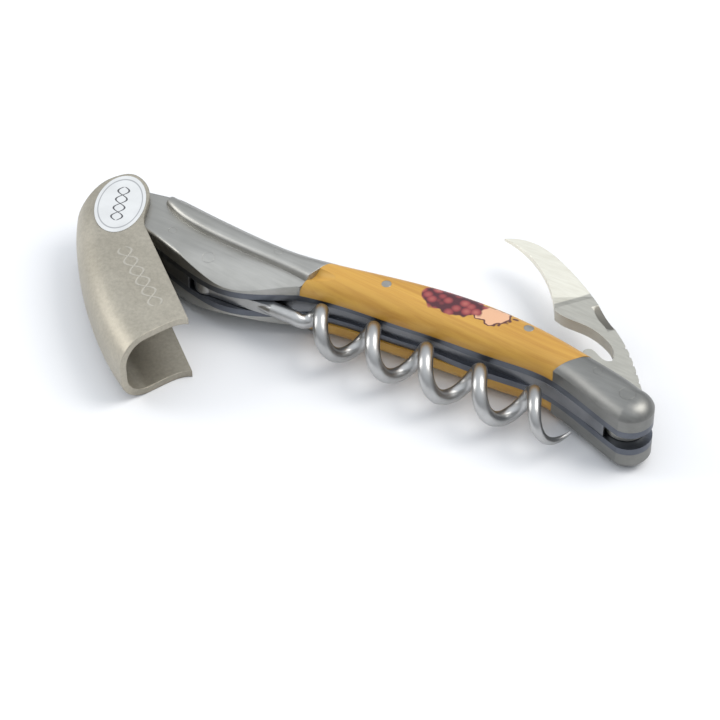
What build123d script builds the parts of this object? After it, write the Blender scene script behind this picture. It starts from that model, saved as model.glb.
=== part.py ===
from build123d import *
import os
from math import acos, atan2, cos, degrees, hypot, pi, sin

# A waiter's corkscrew lying on its side, half open.  Millimetres.
# X runs along the handle, from the bottle lever to the foil blade.
# -Y is the belly, where lever and worm fold in.  +Y is the back, where the blade folds in.
# Z runs through the thickness.  The tool lies on the flat side at Z = 0.
# Every piece is drawn in the handle's own coordinates, with Z measured from the middle
# plane.  It is shifted on export, so that the origin is on the resting face, under the
# middle of the handle.

# ---- driving dimensions ----
ORIGIN = (52.0, -2.3)   # middle of the handle's resting face, in its drawing coordinates
THICKNESS = 15.0        # over both scales
SLOT = 2.8              # gap between the two liners
LINER = 1.4             # liner thickness
RECESS_DEPTH = 1.65     # how far each bolster is let in for the lever's cheek
BACK_ROUND = 3.0        # rounding of the handle's back edge
BELLY_ROUND = 4.2       # rounding of the scale's belly edge
REAR_ROUND = 3.7        # rounding of the rear bolster's crown
REAR_SHOULDER = 0.3     # how far that crown would overhang the bolster's side
SCALE_START = 38.2      # where the scale starts on the belly side
REAR_START = 84.0       # the rear bolster lies wholly behind this
LEDGE_ROUND = 1.2       # of the upper edge of the front bolster's ledge
PLATE_ROUND = 0.8       # rounding of the let-in part of the front bolster
DISH_LINE = (40.8, -5.0)        # on the line where the let-in part starts to fall toward the belly
DISH_TILT = 16.0        # of that line
DISH_RADIUS = 9.5       # of the fall
NOTCH = (39.9, -7.2)    # between the two lobes of the scale's front end
GROOVE_RADIUS = 2.0     # of the groove that runs from the notch into the scale
GROOVE_DEPTH = 1.4      # where it starts
GROOVE_ANGLE = 11.0     # at which it climbs out
LINER_INSET = 0.45      # how far the liners stay back from the belly beside the coil
SPRING_INSET = 1.2      # and the spring

LEVER_PIVOT = (-4.0, -9.0)
WORM_PIVOT = (19.5, -12.6)
BLADE_PIVOT = (106.0, -3.5)
FIT = 0.05              # radial running clearance around each pivot pin
LEVER_PIN_RADIUS = 1.75
WORM_PIN_RADIUS = 1.25
BLADE_PIN_RADIUS = 1.5
SCALE_PIN_RADIUS = 0.95
BOLSTER_PIN_RADIUS = 0.8

NOSE_RADIUS = 5.5       # of the handle around the lever's pivot
TAIL_TIP = (111.4, -3.9)

LEVER_REST = -34.5      # angle of the half-open lever, 0 is closed
LEVER_WIDTH = 14.8
LEVER_WALL = 1.4
LEVER_CORNER = 6.0      # outer radius between web and cheek
NOSE_CLEARANCE = 0.4    # inside the lever, all around the handle's nose
LABEL_LENGTH = 17.2
LABEL_WIDTH = 9.8
LABEL_THICKNESS = 0.1
LABEL_CENTRE = (1.6, -0.9)
LABEL_TILT = -28.0      # of its long axis in the lever

WORM_AXIS_START = (51.0, -12.2)
WORM_AXIS_END = (96.0, -10.1)
WORM_HELIX_RADIUS = 3.65
WORM_WIRE_RADIUS = 1.45
WORM_TIP_MIDDLE_RADIUS = 1.15
WORM_TIP_RADIUS = 0.3
WORM_PITCH = 11.35
WORM_LOW_X = 49.9       # where the first turn is nearest the ground
WORM_TANG_THICKNESS = 2.5
WORM_EYE_RADIUS = 3.1
WORM_TAPER_START = 28.5
WORM_TAPER_RADIUS = 0.7
WORM_TANG_END = 34.5
WORM_SHANK_END = 39.0
WORM_COIL_START = 46.0
WORM_COIL_END = 88.4
WORM_TIP_START = 88.0   # inside the coil's end
WORM_END = 97.5
WORM_TIP_STEP = 0.03    # by which the tip is thinner than the coil that it grows out of

BLADE_REST = 144.6      # direction from pivot to tip, half open
BLADE_THICKNESS = 2.5
BLADE_TANG_RADIUS = 4.0
GRIND_START = 32.0      # from the pivot, where the ground part of the blade begins
GRIND_ANGLE = 6.0

# ---- values worked out from these ----
INNER_Z = SLOT / 2
LINER_Z = INNER_Z + LINER
OUTER_Z = THICKNESS / 2
RECESS_Z = OUTER_Z - RECESS_DEPTH
CHEEK_Z = LEVER_WIDTH / 2
WORM_RISE = WORM_AXIS_END[1] - WORM_AXIS_START[1]
WORM_TILT = degrees(atan2(WORM_RISE, WORM_AXIS_END[0] - WORM_AXIS_START[0]))
LOW_PHASE = 233.0       # angle around the worm's axis at WORM_LOW_X

# ---- lines shared by several pieces, as points along the handle ----
BACK = [(3.4, -1.6), (13, -2.3), (24, -2.8), (33, -2.6), (43, -0.7), (52, 1.5), (62, 3.6), (72, 4.7),
        (80, 4.7), (88, 4), (95, 2.9), (102, 1.7), (107, 0.4)]
LEDGE = [(3.4, -4.6), (8, -6.6), (14, -7.6), (24, -8), (41, -8.3)]
BELLY = [(38, -9.8), (46.5, -7.9), (52, -7.2), (58, -6.6), (65, -5.7), (72, -5), (80, -4.2), (88.5, -3.5),
         (97, -5.4), (107, -8.5)]
BULGE = [(-2.6, -14.3), (5, -12.9), (12, -14.4), (19, -15.9), (24.5, -16.2), (29, -15), (33.5, -12.6),
         (38, -9.8)]
SPRING_PIN = (53.4, -2.2)
SCALE_PIN = (82.2, 1.8)
FRONT_BOLSTER_PIN = (31.0, -5.6)
NOSE_PIN = (9.0, -10.0)
REAR_BOLSTER_PIN = (98.5, -1.2)


def slab(face, low, high):
    """The face as a plate between two heights over the middle plane."""
    return Pos(0, 0, low) * extrude(face, high - low)


def pin(place, radius, low, high):
    return Pos(place[0], place[1], (low + high) / 2) * Cylinder(radius, high - low)


def below(shape):
    """The lower twin of a piece from the upper half."""
    return mirror(shape, Plane.XY)


def outline(draw):
    with BuildSketch() as sketch:
        with BuildLine():
            draw()
        make_face()
    return sketch.sketch


def draw_handle(belly):
    """Side view of the whole handle: nose, bulge, belly, tail and back."""
    x, y = LEVER_PIVOT
    run = BACK[0][0] - x
    rise = BACK[0][1] - y
    top_angle = atan2(rise, run) + acos(NOSE_RADIUS / hypot(run, rise))
    nose_top = (x + NOSE_RADIUS * cos(top_angle), y + NOSE_RADIUS * sin(top_angle))
    ThreePointArc(nose_top, (x - NOSE_RADIUS, y), BULGE[0])
    Spline(*BULGE)
    Spline(*belly)
    ThreePointArc(BELLY[-1], TAIL_TIP, BACK[-1])
    Spline(*reversed(BACK))
    Line(BACK[0], nose_top)


def set_back(belly, inset, first_x, last_x):
    """The belly's points, some of them moved toward the back."""
    return [(x, y + inset if first_x < x < last_x else y) for x, y in belly]


def draw_spine_region():
    """The back side of the ledge, where the front bolster keeps its full thickness."""
    Polyline(LEDGE[0], (LEDGE[0][0], 20), (60, 20), (60, LEDGE[-1][1]), LEDGE[-1])
    Spline(*LEDGE)


def draw_front_region():
    """Everything in front of the wood, whose end is two lobes and a notch."""
    ThreePointArc((46, 8), (40.8, -3.5), NOTCH)
    ThreePointArc(NOTCH, (38.8, -9.1), (37.4, -12))
    Polyline((37.4, -12), (37.4, -30), (-20, -30), (-20, 8), (46, 8))


def draw_rear_region():
    """Everything behind the wood, cut off along a slant."""
    ThreePointArc((96, 8), (94, 0), (86.5, -6))
    Polyline((86.5, -6), (86.5, -20), (125, -20), (125, 8), (96, 8))


def edges_at(shape, height, shortest, low_y, high_y):
    """Level edges at a height, longer than `shortest`, with their middle between two Y values."""
    found = ShapeList()
    for edge in shape.edges():
        box = edge.bounding_box()
        level = abs(box.min.Z - height) < 0.01 and abs(box.max.Z - height) < 0.01
        if level and edge.length > shortest and low_y < edge.position_at(0.5).Y < high_y:
            found.append(edge)
    return found


def make_scale():
    """Rounded along belly and back, with a groove that climbs out behind the notch."""
    length = REAR_START + 13 - SCALE_START
    wood = slab(handle_side, LINER_Z, OUTER_Z) & Pos(SCALE_START + length / 2, 0, 0) * Box(length, 60, 60)
    wood = fillet(edges_at(wood, OUTER_Z, 30, 1, 20), BACK_ROUND)
    wood = fillet(edges_at(wood, OUTER_Z, 30, -12, -3), BELLY_ROUND)
    groove_start = Pos(NOTCH[0], NOTCH[1], OUTER_Z - GROOVE_DEPTH + GROOVE_RADIUS)
    groove = groove_start * Rot(0, 0, 8) * Rot(0, 90 - GROOVE_ANGLE, 0) * Cylinder(GROOVE_RADIUS, 30)
    return wood - groove - slab(front_region, 0, 20) - slab(rear_region, 0, 20)


def make_dish():
    """Everything above the curve by which the front bolster falls toward the belly."""
    x, y = DISH_LINE
    above = Pos(0, -DISH_RADIUS, 0) * Box(120, 2 * DISH_RADIUS, 2 * DISH_RADIUS)
    barrel = Rot(0, 90, 0) * Cylinder(DISH_RADIUS, 120)
    return Pos(x, y, RECESS_Z - DISH_RADIUS) * Rot(0, 0, DISH_TILT) * (above - barrel)


def make_front_bolster():
    """Let in for the lever's cheek, and full thickness along the back."""
    base = slab(handle_side, LINER_Z, RECESS_Z)
    plate = base & Pos(8, -8, 0) * Box(58, 40, 40)
    plate = fillet(edges_at(plate, RECESS_Z, 12, -20, -8), PLATE_ROUND)
    plate += base & Pos(42, -8, 0) * Box(10, 40, 40)
    plate -= make_dish()
    spine = slab(handle_side, LINER_Z, OUTER_Z) & Pos(BACK[0][0] + 25, 0, 0) * Box(50, 60, 60)
    spine = fillet(edges_at(spine, OUTER_Z, 30, -4, 8), BACK_ROUND) & slab(spine_region, 0, 20)
    spine = fillet(edges_at(spine, OUTER_Z, 30, -12, -5), LEDGE_ROUND)
    return (plate + spine) & slab(front_region, 0, 20)


def make_rear_bolster():
    """Crowned, with a shoulder where the crown meets its side."""
    crown = slab(offset(handle_side, REAR_SHOULDER), LINER_Z, OUTER_Z)
    crown &= Pos(REAR_START + 20, 0, 0) * Box(40, 60, 60)
    crown = fillet(edges_at(crown, OUTER_Z, 10, -20, 20), REAR_ROUND)
    return crown & slab(handle_side, LINER_Z, OUTER_Z) & slab(rear_region, 0, 20)


def make_liner():
    return slab(liner_side, INNER_Z, LINER_Z)


def draw_spring_region():
    """Where the spring lies: back side at the head, belly side under the folded blade."""
    Polyline((13, 8), (13, -8.9), (27, -8.9), (34, -10), (39, -10.4), (39, -20), (103.6, -20), (103.6, -4.8),
             (98, -4.2), (92, -3.2), (86, -2.4), (75, -1.9), (58, -1.2), (50, -0.6), (47.5, 8), (13, 8))


def make_spring():
    """One flat spring: its head bears on the worm's tang, its tail on the blade's tang."""
    spring = slab(spring_side, -INNER_Z, INNER_Z) & slab(outline(draw_spring_region), -5, 5)
    spring -= through_pin(BLADE_PIVOT, BLADE_TANG_RADIUS + 0.2, 10)
    spring -= pin(SPRING_PIN, SCALE_PIN_RADIUS, -10, 10)
    spring -= pin(FRONT_BOLSTER_PIN, BOLSTER_PIN_RADIUS, -10, 10)
    return spring


def make_head_spacer():
    """Fills the slot around the lever's pivot, in front of the spring."""
    head = Pos(-3.5, -10, 0) * Box(33, 40, SLOT)
    foot = Pos(14, -19, 0) * Box(5, 20, SLOT)
    spacer = slab(liner_side, -INNER_Z, INNER_Z) & (head + foot)
    spacer -= pin(WORM_PIVOT, WORM_EYE_RADIUS + 0.6, -10, 10)
    spacer -= pin(LEVER_PIVOT, LEVER_PIN_RADIUS + FIT, -10, 10)
    spacer -= pin(NOSE_PIN, BOLSTER_PIN_RADIUS, -10, 10)
    return spacer


def through_pin(place, radius, half_length):
    return pin(place, radius, -half_length, half_length)


# ---- the bottle lever, drawn closed, with its pivot at the origin ----
LEVER_WEB = [(-2.9, -8.7), (6.7, -11.8), (15.5, -13.5), (27, -14.6), (35, -14.6), (41, -14)]
LEVER_END = [(41, -14), (40, -11.3), (39.2, -8.4), (38.1, -4), (37.8, -1.5), (38.3, 0.5)]
LEVER_CHEEK = [(11, 1.4), (5.3, 3.1), (0.8, 5.4), (-3.5, 5.6), (-6.4, 4), (-6.8, 0.5),
               (-5.4, -4), (-2.9, -8.7)]


def draw_lever_side():
    Spline(*LEVER_WEB)
    Spline(*LEVER_END)
    Line(LEVER_END[-1], LEVER_CHEEK[0])
    Spline(*LEVER_CHEEK)


def draw_lever_hollow():
    inner = []
    for x, y in LEVER_WEB[1:]:
        inner.append((x, y + LEVER_WALL))
    Line((-20, -6.7), (-2.9, -7.3))
    Spline((-2.9, -7.3), *inner)
    Polyline(inner[-1], (60, inner[-1][1]), (60, 20), (-20, 20), (-20, -6.7))


def make_lever():
    body = slab(outline(draw_lever_side), -CHEEK_Z, CHEEK_Z)
    web_edges = edges_at(body, CHEEK_Z, 40, -20, -10) + edges_at(body, -CHEEK_Z, 40, -20, -10)
    body = fillet(web_edges, LEVER_CORNER)
    inner_z = CHEEK_Z - LEVER_WALL
    hollow = slab(outline(draw_lever_hollow), -inner_z, inner_z)
    hollow_edges = edges_at(hollow, inner_z, 5, -20, -6) + edges_at(hollow, -inner_z, 5, -20, -6)
    hollow = fillet(hollow_edges, LEVER_CORNER - LEVER_WALL)
    nose_space = through_pin((0, 0), NOSE_RADIUS + NOSE_CLEARANCE, inner_z)
    lever = body - hollow - nose_space - through_pin((0, 0), LEVER_PIN_RADIUS + FIT, 10)
    return place_lever(lever)


def place_lever(shape):
    return Pos(LEVER_PIVOT[0], LEVER_PIVOT[1], 0) * Rot(0, 0, LEVER_REST) * shape


def make_label():
    face = Ellipse(LABEL_LENGTH / 2, LABEL_WIDTH / 2)
    x, y = LABEL_CENTRE
    label = Pos(x, y, CHEEK_Z) * Rot(0, 0, LABEL_TILT) * extrude(face, LABEL_THICKNESS)
    return place_lever(label)


# ---- the worm, drawn along X from its pivot ----
def worm_phase(x):
    return LOW_PHASE + 360 * (x - WORM_LOW_X) / WORM_PITCH


def worm_point(x):
    """Centre of the wire at a place along the axis: straight shank, then the coil."""
    along = (x - WORM_SHANK_END) / (WORM_COIL_START - WORM_SHANK_END)
    along = min(max(along, 0), 1)
    radius = WORM_HELIX_RADIUS * along * along * (3 - 2 * along)
    angle = worm_phase(x) * pi / 180
    return Vector(x, radius * cos(angle), radius * sin(angle))


def wire_path(start, end, steps):
    return Spline(*[worm_point(start + (end - start) * i / steps) for i in range(steps + 1)])


def wire_section(path, share, radius):
    """The wire's round section, part of the way along its path."""
    return Plane(path @ share, z_dir=path % share) * Circle(radius)


def place_on_worm_axis(shape):
    x, y = WORM_AXIS_START
    return Pos(x, y, 0) * Rot(0, 0, WORM_TILT) * Pos(-x, 0, 0) * shape


def draw_worm_neck():
    """From the eye, narrowing to the wire."""
    x, y = WORM_PIVOT
    end_x, end_y = WORM_TANG_END + 1.5, WORM_AXIS_START[1] - 0.7
    Polyline((x, y + 2.8), (x + 8, y + 1.3), (end_x, end_y + 0.6), (end_x, end_y - 0.6), (x + 8, y - 2.2),
             (x, y - 2.8), (x, y + 2.8))


def make_worm():
    """One piece of wire: coil with drawn-out tip, shank, and a taper into its flattened tang."""
    coil_path = wire_path(WORM_TANG_END, WORM_COIL_END, 96)
    coil = sweep(wire_section(coil_path, 0, WORM_WIRE_RADIUS), path=coil_path)
    tip_path = wire_path(WORM_TIP_START, WORM_END, 18)
    radii = [WORM_WIRE_RADIUS - WORM_TIP_STEP, WORM_TIP_MIDDLE_RADIUS, WORM_TIP_RADIUS]
    sections = [wire_section(tip_path, i / 2, radius) for i, radius in enumerate(radii)]
    tip = sweep(sections, path=tip_path, multisection=True)
    half = WORM_TANG_THICKNESS / 2
    eye = through_pin(WORM_PIVOT, WORM_EYE_RADIUS, half)
    neck = slab(outline(draw_worm_neck), -half, half)
    taper_length = WORM_TANG_END - WORM_TAPER_START
    taper = Pos(WORM_TAPER_START + taper_length / 2, 0, 0) * Rot(0, 90, 0) * Cone(
        WORM_TAPER_RADIUS, WORM_WIRE_RADIUS - WORM_TIP_STEP, taper_length + 0.2)
    worm = eye + neck + place_on_worm_axis(coil + tip + taper)
    return worm - through_pin(WORM_PIVOT, WORM_PIN_RADIUS + FIT, 10)


# ---- the foil blade, drawn along X from its pivot with its spine toward +Y ----
SPINE = [(-0.9, 3.9), (5.5, 5.9), (11.3, 7.3), (16.9, 8.2), (23, 8.4), (31.6, 8.4), (43.2, 7.3),
         (52, 4.1), (55.2, 0)]
EDGE = [(55.2, 0), (46.2, 2.7), (38.4, 2.2), (31.4, 0.1)]
CHOIL = [(31.4, 0.1), (29.6, 0.7), (25.2, 3.8), (20.9, 5.5), (17.5, 5.7), (14.7, 4.2)]
KICK = [(14.7, 4.2), (16.8, 2.5), (19.3, 1.5), (19.3, 0.6), (16.5, 0), (13, -0.2), (7, -0.5), (3.85, -1.1)]
NOTCHES = 5
NOTCH_RADIUS = 0.55


def draw_blade():
    Spline(*SPINE)
    Spline(*EDGE)
    Spline(*CHOIL)
    Spline(*KICK)
    ThreePointArc(KICK[-1], (-2.6, -2.1), SPINE[0])


def make_blade():
    half = BLADE_THICKNESS / 2
    blade = slab(outline(draw_blade), -half, half)
    bevel = Pos(44, 9, half) * Rot(GRIND_ANGLE, 0, 0) * Pos(0, -15, 5) * Box(60, 40, 10)
    ramp = Pos(GRIND_START, 0, half) * Rot(0, 12, 0) * Pos(20, 0, 5) * Box(60, 60, 10)
    grind = bevel & ramp
    blade -= grind
    blade -= below(grind)
    spine = Spline(*SPINE)
    for i in range(NOTCHES):
        middle = spine.position_at(0.15 + 0.04 * i)
        blade -= through_pin((middle.X, middle.Y + 0.2), NOTCH_RADIUS, 10)
    nail_nick = Pos(26, 8.0, half + 11.4) * Rot(90, 0, 0) * Cylinder(12, 2.2)
    blade -= nail_nick
    blade -= through_pin((0, 0), BLADE_PIN_RADIUS + FIT, 10)
    return Pos(*BLADE_PIVOT) * Rot(0, 0, BLADE_REST) * mirror(blade, Plane.XZ)


def save(shape, name):
    export_step(Pos(-ORIGIN[0], -ORIGIN[1], THICKNESS / 2) * shape, f"parts/{name}.step")


def save_both(shape, name):
    save(shape, name + "_upper")
    save(below(shape), name + "_lower")


def flush_pin(place, radius, upper_half):
    """A pin through the whole handle, dressed flush with both its sides."""
    core = through_pin(place, radius, LINER_Z)
    cap = pin(place, radius, LINER_Z, 20) & upper_half
    return core + cap + below(cap)


def make_pin_pair(place, radius, upper_half):
    """Two short pins, one in each half of the handle, dressed flush."""
    upper = pin(place, radius, INNER_Z, LINER_Z) + (pin(place, radius, LINER_Z, 20) & upper_half)
    return Compound(children=[upper, below(upper)])


def drilled(shape, holes):
    for place, radius in holes:
        shape = shape - pin(place, radius, 0, 20)
    return shape


os.makedirs("parts", exist_ok=True)
handle_side = outline(lambda: draw_handle(BELLY))
liner_side = outline(lambda: draw_handle(set_back(BELLY, LINER_INSET, 45, 68)))
spring_side = outline(lambda: draw_handle(set_back(BELLY, SPRING_INSET, 45, 86)))
spine_region = outline(draw_spine_region)
front_region = outline(draw_front_region)
rear_region = outline(draw_rear_region)

wood = make_scale()
front = make_front_bolster()
rear = make_rear_bolster()
lever_hole = (LEVER_PIVOT, LEVER_PIN_RADIUS + FIT)
worm_hole = (WORM_PIVOT, WORM_PIN_RADIUS)
blade_hole = (BLADE_PIVOT, BLADE_PIN_RADIUS)
wood_holes = [(SPRING_PIN, SCALE_PIN_RADIUS), (SCALE_PIN, SCALE_PIN_RADIUS)]
front_holes = [(FRONT_BOLSTER_PIN, BOLSTER_PIN_RADIUS), (NOSE_PIN, BOLSTER_PIN_RADIUS)]
rear_holes = [(REAR_BOLSTER_PIN, BOLSTER_PIN_RADIUS), blade_hole]

save_both(drilled(make_liner(), wood_holes + front_holes + rear_holes + [lever_hole, worm_hole]), "liner")
save_both(drilled(wood, wood_holes), "scale")
save_both(drilled(front, front_holes + [lever_hole, worm_hole]), "front_bolster")
save_both(drilled(rear, rear_holes), "rear_bolster")
save(make_spring(), "spring")
save(make_head_spacer(), "head_spacer")
save(flush_pin(SPRING_PIN, SCALE_PIN_RADIUS, wood), "spring_pin")
save(make_pin_pair(SCALE_PIN, SCALE_PIN_RADIUS, wood), "scale_pins")
save(flush_pin(FRONT_BOLSTER_PIN, BOLSTER_PIN_RADIUS, front), "front_bolster_pin")
save(flush_pin(NOSE_PIN, BOLSTER_PIN_RADIUS, front), "nose_pin")
save(make_pin_pair(REAR_BOLSTER_PIN, BOLSTER_PIN_RADIUS, rear), "rear_bolster_pins")
save(make_lever(), "lever")
save(make_label(), "lever_label")
save(through_pin(LEVER_PIVOT, LEVER_PIN_RADIUS, CHEEK_Z - 0.05), "lever_pin")
save(make_worm(), "worm")
save(flush_pin(WORM_PIVOT, WORM_PIN_RADIUS, front), "worm_pin")
save(make_blade(), "blade")
save(flush_pin(BLADE_PIVOT, BLADE_PIN_RADIUS, rear), "blade_pin")
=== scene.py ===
import bpy
from math import pi, radians
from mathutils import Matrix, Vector


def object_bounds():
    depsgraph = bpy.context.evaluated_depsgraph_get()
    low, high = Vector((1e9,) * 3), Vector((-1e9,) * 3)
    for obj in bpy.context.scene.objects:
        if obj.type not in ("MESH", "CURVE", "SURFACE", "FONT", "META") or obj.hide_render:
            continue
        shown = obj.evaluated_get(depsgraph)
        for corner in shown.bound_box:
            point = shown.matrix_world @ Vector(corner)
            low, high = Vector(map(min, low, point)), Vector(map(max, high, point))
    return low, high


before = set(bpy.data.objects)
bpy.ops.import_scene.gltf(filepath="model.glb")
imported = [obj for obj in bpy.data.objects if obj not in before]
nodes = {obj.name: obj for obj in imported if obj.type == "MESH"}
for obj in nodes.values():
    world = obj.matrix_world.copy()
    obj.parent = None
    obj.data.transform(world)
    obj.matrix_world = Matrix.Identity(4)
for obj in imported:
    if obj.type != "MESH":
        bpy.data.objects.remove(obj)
cad_low, cad_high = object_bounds()
MM = 0.001
TOP = cad_high[2]       # height of the handle's upper face

# where the patterns lie on the resting tool, in metres
BRAID_PLACE = (-0.0390, -0.0233, 0)
BRAID_TURN = radians(-32)
LABEL_PLACE = (-0.0552, -0.00835, 0)
LABEL_TURN = radians(-62.5)
GRAPE_PLACE = (0.0145, 0.0031, 0)
LEAF_PLACE = (0.0230, 0.0036, 0)
BLADE_PLACE = (0.0540, -0.0012, 0)      # the blade's pivot
BLADE_TURN = radians(144.6)
NICK_PLACE = (0.0374, 0.0204, 0)
GRIND_START = 0.0332    # from the blade's pivot, where the satin starts to turn into the grind
GRIND_END = 0.0336

# grain lines, in cycles per metre along X, Y and Z
BRUSHED = (60, 1300, 1300)
ROLLED = (60, 900, 900)

# the view: target and distance in metres, shift in shares of the picture's width
VIEW_TARGET = Vector((3, 2.3, 7.5)) * MM
VIEW_SIDE = Vector((0.4047, -0.6233, 0.6691)).normalized()
VIEW_DISTANCE = 480 * MM
VIEW_SHIFT = (-1 / 18, -5 / 72)


def linear(red, green, blue):
    """A screen colour, 0 to 255, as the linear colour that a shader takes."""
    out = []
    for value in (red, green, blue):
        share = value / 255
        out.append(share / 12.92 if share <= 0.04045 else ((share + 0.055) / 1.055) ** 2.4)
    return (*out, 1.0)


# painted shade: dark speckled greys for the inside of the lever's channel
PAINTED_SHADE_STOPS = [(0.35, linear(58, 55, 50)), (0.65, linear(122, 117, 107))]     # inside the lever
FAINT_DARK = (0.86, 0.86, 0.86, 1)
DARK = (0.8, 0.8, 0.8, 1)
WHITE = (1, 1, 1, 1)


# ---- material building blocks ----
def new_material(name):
    material = bpy.data.materials.new(name)
    material.use_nodes = True
    return material, material.node_tree, material.node_tree.nodes["Principled BSDF"]


def connect(tree, value, socket):
    """Links an output to the socket, or sets a plain number on it."""
    if isinstance(value, (int, float)):
        socket.default_value = value
    else:
        tree.links.new(value, socket)


def wrapped(tree):
    """Flat coordinates that run over the handle's upper back edge and down its side."""
    coordinates = tree.nodes.new("ShaderNodeTexCoord")
    split = tree.nodes.new("ShaderNodeSeparateXYZ")
    join = tree.nodes.new("ShaderNodeCombineXYZ")
    tree.links.new(coordinates.outputs["Object"], split.inputs["Vector"])
    at_back = in_range(tree, split.outputs["Y"], 0, 1, start=0.5 * MM, end=1.5 * MM)
    depth = calculate(tree, "SUBTRACT", TOP, split.outputs["Z"])
    fallen = calculate(tree, "MULTIPLY", depth, at_back)
    tree.links.new(split.outputs["X"], join.inputs["X"])
    tree.links.new(calculate(tree, "ADD", split.outputs["Y"], fallen), join.inputs["Y"])
    return join.outputs["Vector"]


def mapped(tree, kind, place, turn, scale, source=None):
    """The piece's own coordinates, or the source given, through a mapping."""
    if source is None:
        source = tree.nodes.new("ShaderNodeTexCoord").outputs["Object"]
    mapping = tree.nodes.new("ShaderNodeMapping")
    mapping.vector_type = kind
    mapping.inputs["Location"].default_value = place
    mapping.inputs["Rotation"].default_value = (0, 0, turn)
    mapping.inputs["Scale"].default_value = scale
    tree.links.new(source, mapping.inputs["Vector"])
    return mapping.outputs["Vector"]


def stretched_noise(tree, scale, detail, rough=0.5, turn=0.0):
    """Noise, with `scale` = cycles per metre along X, Y and Z."""
    noise = tree.nodes.new("ShaderNodeTexNoise")
    noise.inputs["Scale"].default_value = 1.0
    noise.inputs["Detail"].default_value = detail
    noise.inputs["Roughness"].default_value = rough
    tree.links.new(mapped(tree, "POINT", (0, 0, 0), turn, scale), noise.inputs["Vector"])
    return noise.outputs["Fac"]


def ramp(tree, value, stops):
    node = tree.nodes.new("ShaderNodeValToRGB")
    elements = node.color_ramp.elements
    while len(elements) < len(stops):
        elements.new(0.5)
    for element, (position, colour) in zip(elements, stops):
        element.position = position
        element.color = colour
    tree.links.new(value, node.inputs["Fac"])
    return node.outputs["Color"]


def in_range(tree, value, low, high, start=0.0, end=1.0):
    """The value's run from `start` to `end`, as a run from `low` to `high`."""
    node = tree.nodes.new("ShaderNodeMapRange")
    node.inputs["From Min"].default_value = start
    node.inputs["From Max"].default_value = end
    node.inputs["To Min"].default_value = low
    node.inputs["To Max"].default_value = high
    tree.links.new(value, node.inputs["Value"])
    return node.outputs["Result"]


def calculate(tree, operation, first, second=0.0):
    node = tree.nodes.new("ShaderNodeMath")
    node.operation = operation
    connect(tree, first, node.inputs[0])
    connect(tree, second, node.inputs[1])
    return node.outputs["Value"]


def near(tree, value, middle, full, none):
    """1 where the value is within `full` of the middle, falling to 0 at a distance of `none`."""
    gap = calculate(tree, "ABSOLUTE", calculate(tree, "SUBTRACT", value, middle))
    return in_range(tree, gap, 1, 0, full, none)


def mix(tree, share, first, second, blend="MIX"):
    node = tree.nodes.new("ShaderNodeMix")
    node.data_type = "RGBA"
    node.blend_type = blend
    connect(tree, share, node.inputs["Factor"])
    for value, socket in ((first, node.inputs["A"]), (second, node.inputs["B"])):
        if isinstance(value, tuple):
            socket.default_value = value
        else:
            tree.links.new(value, socket)
    return node.outputs["Result"]


def rounded_bump(tree, shader, height, distance, edge):
    """Bump from a height, over edges that are rounded to the radius `edge`."""
    bevel = tree.nodes.new("ShaderNodeBevel")
    bevel.samples = 4
    bevel.inputs["Radius"].default_value = edge
    bump = tree.nodes.new("ShaderNodeBump")
    bump.inputs["Strength"].default_value = 1.0
    bump.inputs["Distance"].default_value = distance
    tree.links.new(height, bump.inputs["Height"])
    tree.links.new(bevel.outputs["Normal"], bump.inputs["Normal"])
    tree.links.new(bump.outputs["Normal"], shader.inputs["Normal"])


def oval(tree, place, turn, half_length, half_width, wobble=0.0, lobes=0, source=None):
    """1 on the rim of an oval seen from above, less inside it, with `lobes` wobbles per metre."""
    vector = mapped(tree, "TEXTURE", place, turn, (half_length, half_width, 1000), source)
    length = tree.nodes.new("ShaderNodeVectorMath")
    length.operation = "LENGTH"
    tree.links.new(vector, length.inputs[0])
    if wobble == 0.0:
        return length.outputs["Value"]
    noise = stretched_noise(tree, (lobes, lobes, 0), 1)
    shift = in_range(tree, noise, -wobble, wobble)
    return calculate(tree, "ADD", length.outputs["Value"], shift)


def braid(tree, place, turn, period, height, line, half_length):
    """1 on two crossing waves along a stretch of the tool's upper face, 0 elsewhere."""
    split = tree.nodes.new("ShaderNodeSeparateXYZ")
    tree.links.new(mapped(tree, "TEXTURE", place, turn, (1, 1, 1)), split.inputs["Vector"])
    along = split.outputs["X"]
    across = calculate(tree, "ABSOLUTE", split.outputs["Y"])
    wave = calculate(tree, "SINE", calculate(tree, "MULTIPLY", along, pi / period))
    crest = calculate(tree, "MULTIPLY", calculate(tree, "ABSOLUTE", wave), height)
    drawn = near(tree, across, crest, 0.6 * line, line)
    inside = near(tree, along, 0.0, half_length - line, half_length)
    on_top = in_range(tree, split.outputs["Z"], 0, 1, start=TOP - MM, end=TOP - 0.5 * MM)
    return calculate(tree, "MULTIPLY", calculate(tree, "MULTIPLY", drawn, inside), on_top)


# ---- materials ----
def steel(name, dark, light, roughness, grain, bump, edge):
    """Metal with faint cloudy tone, grain lines of `grain` cycles per metre and rounded edges."""
    material, tree, shader = new_material(name)
    cloud = stretched_noise(tree, (90, 90, 90), 3)
    lines = stretched_noise(tree, grain, 4, 0.65)
    tone = ramp(tree, cloud, [(0.3, dark), (0.7, light)])
    streak = ramp(tree, lines, [(0.3, FAINT_DARK), (0.7, WHITE)])
    shader.inputs["Metallic"].default_value = 1.0
    tree.links.new(mix(tree, 1.0, tone, streak, "MULTIPLY"), shader.inputs["Base Color"])
    tree.links.new(in_range(tree, lines, *roughness), shader.inputs["Roughness"])
    rounded_bump(tree, shader, lines, bump, edge)
    return material


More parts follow.
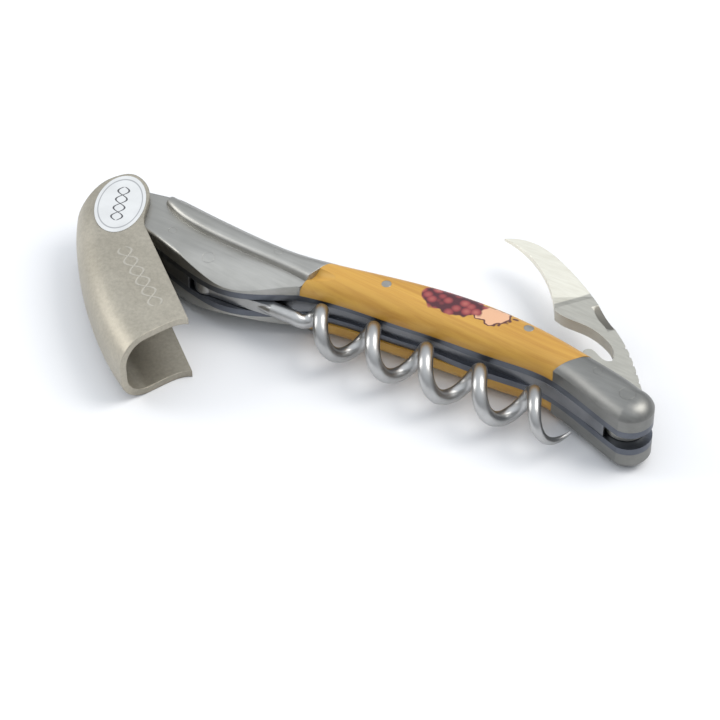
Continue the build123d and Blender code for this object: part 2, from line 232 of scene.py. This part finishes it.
def lever_steel():
    """Bead-blasted, warm in tone, with painted shade in its channel where ambient occlusion is high,
    and an etched braid on the upper cheek.
    """
    material, tree, shader = new_material("lever_steel")
    cloud = stretched_noise(tree, (70, 70, 70), 3)
    speckle = stretched_noise(tree, (1500, 1500, 1500), 3, 0.7)
    etched = braid(tree, BRAID_PLACE, BRAID_TURN, period=3.2 * MM, height=1.3 * MM,
                   line=0.26 * MM, half_length=9.2 * MM)
    tone = ramp(tree, cloud, [(0.3, linear(176, 170, 156)), (0.7, linear(192, 186, 172))])
    dots = ramp(tree, speckle, [(0.3, DARK), (0.7, WHITE)])
    speckled = mix(tree, 1.0, tone, dots, "MULTIPLY")
    share = calculate(tree, "MULTIPLY", etched, 0.4)
    # painted shade: where ambient occlusion finds the channel's walls close, the colour turns to dark
    # speckled grey
    hollow = tree.nodes.new("ShaderNodeAmbientOcclusion")
    hollow.inputs["Distance"].default_value = 12 * MM
    painted_shade_share = in_range(tree, hollow.outputs["AO"], low=0.75, high=0, start=0.15, end=0.75)
    shader.inputs["Metallic"].default_value = 0.85
    colour = mix(tree, share, speckled, linear(214, 211, 202))
    painted_shade_colour = ramp(tree, stretched_noise(tree, (700, 700, 700), 3, 0.8), PAINTED_SHADE_STOPS)
    tree.links.new(mix(tree, painted_shade_share, colour, painted_shade_colour), shader.inputs["Base Color"])
    tree.links.new(in_range(tree, speckle, 0.42, 0.56), shader.inputs["Roughness"])
    height = calculate(tree, "SUBTRACT", speckle, etched)
    rounded_bump(tree, shader, height, distance=0.03 * MM, edge=0.3 * MM)
    return material


def blade_steel():
    """Satin, with painted sheen, lighter and warmer, on the grind, and painted shade in the nail
    nick.
    """
    material, tree, shader = new_material("blade_steel")
    lines = stretched_noise(tree, (250, 1600, 1600), 4, 0.6, -BLADE_TURN)
    split = tree.nodes.new("ShaderNodeSeparateXYZ")
    from_pivot = mapped(tree, "TEXTURE", BLADE_PLACE, BLADE_TURN, (1, 1, 1))
    tree.links.new(from_pivot, split.inputs["Vector"])
    ground = in_range(tree, split.outputs["X"], 0, 1, GRIND_START, GRIND_END)
    plain = ramp(tree, lines, [(0.3, linear(180, 178, 169)), (0.7, linear(194, 192, 183))])
    # painted sheen: past GRIND_START the colour turns lighter and warmer over the grind facet
    bright = ramp(tree, lines, [(0.3, linear(232, 228, 213)), (0.7, linear(243, 240, 227))])
    shader.inputs["Metallic"].default_value = 0.9
    # painted shade: the nail nick's hollow is given a dark warm grey
    nick_rim = oval(tree, NICK_PLACE, BLADE_TURN, half_length=3.7 * MM, half_width=1.4 * MM)
    nick = in_range(tree, nick_rim, low=0.8, high=0, start=0.9, end=1.05)
    colour = mix(tree, nick, mix(tree, ground, plain, bright), linear(96, 92, 84))
    tree.links.new(colour, shader.inputs["Base Color"])
    tree.links.new(in_range(tree, lines, 0.34, 0.46), shader.inputs["Roughness"])
    rounded_bump(tree, shader, lines, distance=0.005 * MM, edge=0.1 * MM)
    return material


def wood_tone(tree):
    """The wood's colour and the height of its fine grain."""
    grain = stretched_noise(tree, (30, 1100, 600), 5, 0.6)
    bands = stretched_noise(tree, (9, 190, 140), 3, 0.5)
    honey = [(0.3, linear(178, 132, 50)), (0.52, linear(196, 152, 66)), (0.8, linear(208, 168, 86))]
    tone = ramp(tree, bands, honey)
    streak = ramp(tree, grain, [(0.3, linear(205, 168, 120)), (0.6, linear(255, 251, 243))])
    return mix(tree, 0.5, tone, streak, "MULTIPLY"), grain


def boxwood(name, printed):
    """Fine-grained wood under a thin coat of lacquer, with or without the print."""
    material, tree, shader = new_material(name)
    colour, grain = wood_tone(tree)
    if printed:
        colour = add_print(tree, colour)
    tree.links.new(colour, shader.inputs["Base Color"])
    tree.links.new(in_range(tree, grain, 0.32, 0.5), shader.inputs["Roughness"])
    shader.inputs["Coat Weight"].default_value = 0.12
    shader.inputs["Coat Roughness"].default_value = 0.3
    rounded_bump(tree, shader, grain, distance=0.03 * MM, edge=0.2 * MM)
    return material


def add_print(tree, colour):
    """A bunch of grapes with a leaf, over the colour given."""
    flat = wrapped(tree)
    leaf = oval(tree, LEAF_PLACE, turn=0.35, half_length=3.8 * MM, half_width=2.5 * MM,
                wobble=0.5, lobes=560, source=flat)
    inside = in_range(tree, leaf, 1, 0, start=0.97, end=1.03)
    outline = near(tree, leaf, 0.97, 0.04, 0.09)
    colour = mix(tree, inside, colour, linear(212, 166, 132))
    colour = mix(tree, outline, colour, linear(84, 44, 38))
    bunch = oval(tree, GRAPE_PLACE, turn=0.1, half_length=6.8 * MM, half_width=3.6 * MM,
                 wobble=0.3, lobes=420, source=flat)
    cells = tree.nodes.new("ShaderNodeTexVoronoi")
    cells.inputs["Scale"].default_value = 1.0
    cells.inputs["Randomness"].default_value = 0.55
    berry_grid = mapped(tree, "POINT", (0, 0, 0), 0.3, (500, 500, 0), flat)
    tree.links.new(berry_grid, cells.inputs["Vector"])
    skin = [(0.1, linear(168, 92, 84)), (0.42, linear(134, 52, 56)), (0.6, linear(72, 22, 34))]
    berries = ramp(tree, cells.outputs["Distance"], skin)
    return mix(tree, in_range(tree, bunch, 1, 0, start=0.96, end=1.03), colour, berries)


def enamel():
    """The label: off-white, with a thin ring and a braid."""
    material, tree, shader = new_material("enamel")
    cloud = stretched_noise(tree, (300, 300, 300), 2)
    base = ramp(tree, cloud, [(0.2, linear(196, 198, 199)), (0.8, linear(208, 210, 211))])
    rim = oval(tree, LABEL_PLACE, LABEL_TURN, half_length=8.6 * MM, half_width=4.9 * MM)
    ring = near(tree, rim, 0.86, 0.01, 0.03)
    drawn = braid(tree, LABEL_PLACE, LABEL_TURN, period=2.6 * MM, height=1.1 * MM,
                  line=0.22 * MM, half_length=5.2 * MM)
    colour = mix(tree, ring, base, linear(150, 152, 155))
    tree.links.new(mix(tree, drawn, colour, linear(70, 70, 74)), shader.inputs["Base Color"])
    shader.inputs["Roughness"].default_value = 0.4
    rounded_bump(tree, shader, cloud, distance=0.01 * MM, edge=0.05 * MM)
    return material


bolster = steel("bolster_steel", linear(170, 169, 164), linear(187, 186, 182),
                roughness=(0.36, 0.5), grain=BRUSHED, bump=0.01 * MM, edge=0.2 * MM)
# painted shade: the rear bolsters, their pins and the blade pin are the same steel as the front
# bolsters, given a darker colour
shaded_rear_steel = steel("rear_bolster_steel_painted_shade", linear(132, 132, 129), linear(150, 150, 147),
                   roughness=(0.36, 0.5), grain=BRUSHED, bump=0.01 * MM, edge=0.2 * MM)
liner = steel("liner_steel", linear(98, 102, 110), linear(122, 126, 134),
              roughness=(0.3, 0.45), grain=ROLLED, bump=0.01 * MM, edge=0.1 * MM)
spring = steel("spring_steel", linear(128, 130, 134), linear(150, 151, 154),
               roughness=(0.3, 0.42), grain=ROLLED, bump=0.01 * MM, edge=0.2 * MM)
lever = lever_steel()
worm = steel("worm_steel", linear(172, 172, 171), linear(192, 192, 191),
             roughness=(0.26, 0.38), grain=(300, 300, 300), bump=0.005 * MM, edge=0.2 * MM)
blade = blade_steel()
pins = steel("pin_steel", linear(168, 165, 158), linear(184, 182, 176),
             roughness=(0.3, 0.42), grain=(700, 700, 700), bump=0.01 * MM, edge=0.2 * MM)
wood = boxwood("boxwood", False)
printed_wood = boxwood("boxwood_printed", True)
label = enamel()

FINISH = {
    "liner_upper": liner, "liner_lower": liner, "scale_upper": printed_wood, "scale_lower": wood,
    "front_bolster_upper": bolster, "front_bolster_lower": bolster,
    "rear_bolster_upper": shaded_rear_steel, "rear_bolster_lower": shaded_rear_steel,
    "spring": spring, "head_spacer": spring, "spring_pin": pins, "scale_pins": pins,
    "front_bolster_pin": bolster, "nose_pin": bolster, "rear_bolster_pins": shaded_rear_steel,
    "lever": lever, "lever_label": label, "lever_pin": lever, "worm": worm, "worm_pin": bolster,
    "blade": blade, "blade_pin": shaded_rear_steel,
}
for name, material in FINISH.items():
    data = nodes[name].data
    data.materials.clear()
    data.materials.append(material)


# ---- floor, light and camera ----
def make_floor():
    bpy.ops.mesh.primitive_plane_add(size=6, location=(0, 0, cad_low[2]))
    floor = bpy.context.object
    floor.name = "floor"
    material, tree, shader = new_material("floor")
    cloud = stretched_noise(tree, (3, 3, 3), 2)
    tone = ramp(tree, cloud, [(0.2, linear(225, 226, 229)), (0.8, linear(229, 230, 232))])
    tree.links.new(tone, shader.inputs["Base Color"])
    shader.inputs["Roughness"].default_value = 0.8
    floor.data.materials.append(material)


def make_area_light(name, place, size, power, colour):
    data = bpy.data.lights.new(name, "AREA")
    data.shape = "RECTANGLE"
    data.size, data.size_y = size
    data.energy = power
    data.color = colour
    light = bpy.data.objects.new(name, data)
    light.location = place
    light.rotation_euler = (-Vector(place)).to_track_quat("-Z", "Y").to_euler()
    bpy.context.scene.collection.objects.link(light)


def make_world():
    """A studio that is bright overhead and dimmer toward the horizon."""
    world = bpy.data.worlds.new("studio")
    world.use_nodes = True
    tree = world.node_tree
    coordinates = tree.nodes.new("ShaderNodeTexCoord")
    split = tree.nodes.new("ShaderNodeSeparateXYZ")
    tree.links.new(coordinates.outputs["Generated"], split.inputs["Vector"])
    strength = in_range(tree, split.outputs["Z"], low=0.32, high=1.2, start=0.0, end=0.9)
    tree.links.new(strength, tree.nodes["Background"].inputs["Strength"])
    tree.nodes["Background"].inputs["Color"].default_value = (0.91, 0.95, 1.0, 1)
    bpy.context.scene.world = world


def make_camera():
    data = bpy.data.cameras.new("camera")
    data.lens = 126
    data.sensor_width = 36
    data.shift_x, data.shift_y = VIEW_SHIFT
    data.clip_start = 0.01
    camera = bpy.data.objects.new("camera", data)
    camera.location = VIEW_TARGET + VIEW_SIDE * VIEW_DISTANCE
    camera.rotation_euler = VIEW_SIDE.to_track_quat("Z", "Y").to_euler()
    bpy.context.scene.collection.objects.link(camera)
    bpy.context.scene.camera = camera


make_floor()
make_world()
make_area_light("key", place=(0.42, 0.28, 0.68), size=(0.5, 0.5), power=3.9, colour=(1, 0.96, 0.9))
make_area_light("fill", place=(-0.6, -0.25, 0.35), size=(0.3, 0.4), power=1.6, colour=(1, 0.98, 0.95))
make_camera()
bpy.context.scene.view_settings.view_transform = "Standard"
